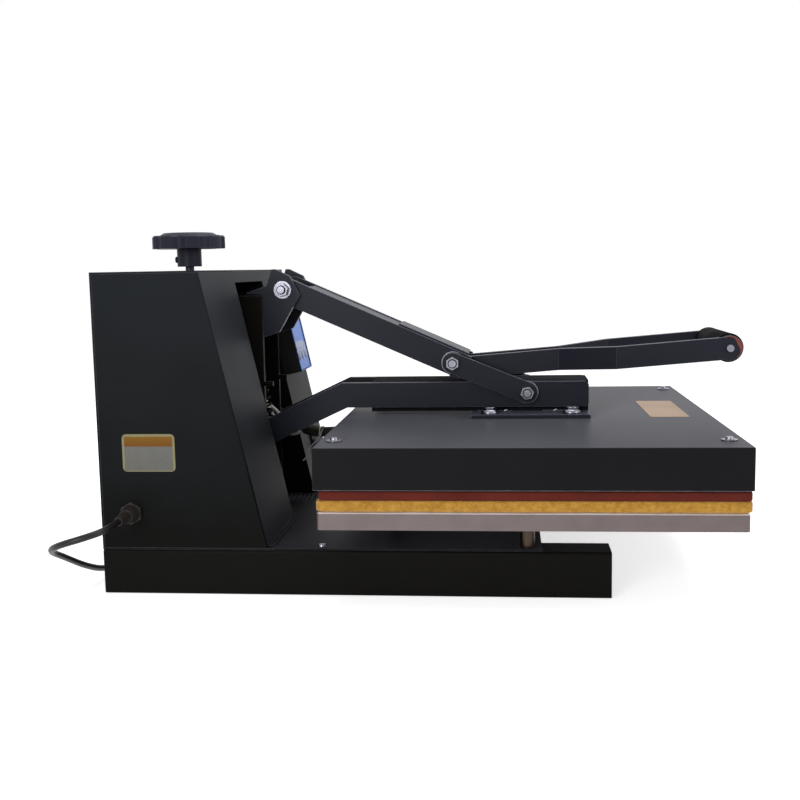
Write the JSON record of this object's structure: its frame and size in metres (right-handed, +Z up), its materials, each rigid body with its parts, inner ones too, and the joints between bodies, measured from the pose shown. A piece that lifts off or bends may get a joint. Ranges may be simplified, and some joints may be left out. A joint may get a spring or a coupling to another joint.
{
  "type": "flat heat press",
  "caption": "Clamshell flat heat press with a sheet steel tower, toggle arms, a hinged heated platen, a padded lower platen and a bent handle.",
  "frame": {"origin": "centre of the bounding box of the press without its mains lead, on the floor", "axes": "+X towards the handle, +Y across the machine to its control side, +Z up"},
  "size_m": [0.7721, 0.5426, 0.3685],
  "materials": {
    "frame_paint": "black fine-textured powder coat",
    "tower_paint": "black fine-textured powder coat",
    "arm_paint": "satin black powder coat",
    "cover_paint": "satin charcoal powder coat",
    "zinc": "bright zinc plate",
    "bare_steel": "turned steel",
    "spring_steel": "drawn spring wire",
    "brass": "machined brass",
    "platen_aluminium": "milled cast aluminium",
    "heater_aluminium": "cast aluminium",
    "silicone": "matt red-brown silicone sponge",
    "felt": "ochre needle felt",
    "blanket": "ceramic fibre",
    "knob_plastic": "moulded phenolic",
    "grip_rubber": "smooth black grip",
    "ring_plastic": "red-brown moulded ring",
    "box_plastic": "black moulded box",
    "panel_film": "printed blue membrane",
    "button_plastic": "light grey key",
    "board": "solder-masked board",
    "switch_plastic": "black switch moulding",
    "rocker_plastic": "red rocker",
    "relay_plastic": "relay case",
    "terminal_plastic": "terminal strip",
    "cord_sheath": "black cord sheath",
    "gland_nylon": "black nylon gland",
    "harness_sleeve": "heat-proof sleeve"
  },
  "bodies": {
    "base_unit": {"base_rails": "frame_paint", "base_rear_member": "frame_paint", "deck_plate": "frame_paint", "deck_screws": "zinc", "side_housing_near": "tower_paint", "side_housing_far": "tower_paint", "top_cover": "tower_paint", "rear_cover": "tower_paint", "rear_cover_screws": "zinc", "mast": "frame_paint", "mast_bolts": "zinc", "hinge_shaft": "bare_steel", "spring_anchor_pin": "zinc", "return_spring": "spring_steel", "wiring_harness": "harness_sleeve", "control_box": "box_plastic", "control_panel": "panel_film", "controller_board": "board", "power_switch_body": "switch_plastic", "solid_state_relay": "relay_plastic", "terminal_block": "terminal_plastic", "cable_gland": "gland_nylon", "power_cord": "cord_sheath", "cord_coil": "cord_sheath", "power_plug": "cord_sheath", "lower_platen": "platen_aluminium", "felt_pad": "felt", "silicone_pad": "silicone", "platen_posts": "bare_steel"},
    "pressure_yoke": {"yoke": "arm_paint", "yoke_guide_bolts": "zinc", "spindle_nut": "brass", "top_pivot_fasteners": "zinc"},
    "adjuster": {"adjuster_spindle": "bare_steel", "pressure_knob": "knob_plastic"},
    "upper_arm": {"upper_arm_bars": "arm_paint", "upper_arm_core": "arm_paint", "upper_arm_cap": "arm_paint", "top_pivot_sleeve": "bare_steel", "handle_bars": "arm_paint", "grip": "grip_rubber", "grip_rings": "ring_plastic", "grip_screws": "zinc"},
    "lower_arm": {"lower_arm_bars": "arm_paint", "lower_arm_core": "arm_paint", "arm_cross_tubes": "bare_steel", "foot_plate": "arm_paint", "foot_bolts": "zinc", "platen_cover": "cover_paint", "cover_screws": "zinc", "insulation_blanket": "blanket", "heating_plate": "heater_aluminium", "heating_element": "bare_steel", "link_pivot_fasteners": "zinc"},
    "toggle": {"toggle_links": "arm_paint", "elbow_fasteners": "zinc"},
    "mode_button": {"button_mode": "button_plastic"},
    "minus_button": {"button_minus": "button_plastic"},
    "plus_button": {"button_plus": "button_plastic"},
    "power_switch": {"power_rocker": "rocker_plastic"}
  },
  "joints": [
    {"name": "platen_open", "type": "hinge", "parent": "base_unit", "child": "lower_arm", "pos_m": [-0.2282, 0, 0.124], "axis": [0, -1, 0], "range_deg": [0, 43], "deforming": ["return_spring", "wiring_harness"]},
    {"name": "knob_turn", "type": "hinge", "parent": "base_unit", "child": "adjuster", "pos_m": [-0.2867, 0, 0.33], "axis": [0, 0, 1], "range_deg": [-360, 1440]},
    {"name": "pressure_slide", "type": "slide", "parent": "base_unit", "child": "pressure_yoke", "axis": [0, 0, 1], "range_m": [-0.0015, 0.006]},
    {"name": "handle_lift", "type": "hinge", "parent": "pressure_yoke", "child": "upper_arm", "pos_m": [-0.1692, 0, 0.302], "axis": [0, -1, 0], "range_deg": [0, 81.59]},
    {"name": "link_swing", "type": "hinge", "parent": "lower_arm", "child": "toggle", "pos_m": [0.1018, 0, 0.1845], "axis": [0, 1, 0], "range_deg": [0, 90.9]},
    {"name": "mode_button_press", "type": "slide", "parent": "base_unit", "child": "mode_button", "axis": [-0.9766, 0, -0.2151], "range_m": [0, 0.0008], "stiffness_N_per_m": 400, "springref_m": -0.001},
    {"name": "minus_button_press", "type": "slide", "parent": "base_unit", "child": "minus_button", "axis": [-0.9766, 0, -0.2151], "range_m": [0, 0.0008], "stiffness_N_per_m": 400, "springref_m": -0.001},
    {"name": "plus_button_press", "type": "slide", "parent": "base_unit", "child": "plus_button", "axis": [-0.9766, 0, -0.2151], "range_m": [0, 0.0008], "stiffness_N_per_m": 400, "springref_m": -0.001},
    {"name": "power_rock", "type": "hinge", "parent": "base_unit", "child": "power_switch", "pos_m": [-0.1773, 0.134, 0.10692], "axis": [0, 1, 0], "range_deg": [0, 16]}
  ],
  "couplings": [
    {"joint": "handle_lift", "follows": "platen_open", "ratio": 1.8962},
    {"joint": "link_swing", "follows": "platen_open", "ratio": 2.1128},
    {"joint": "knob_turn", "follows": "pressure_slide", "rad_per_m": 4188.8}
  ]
}
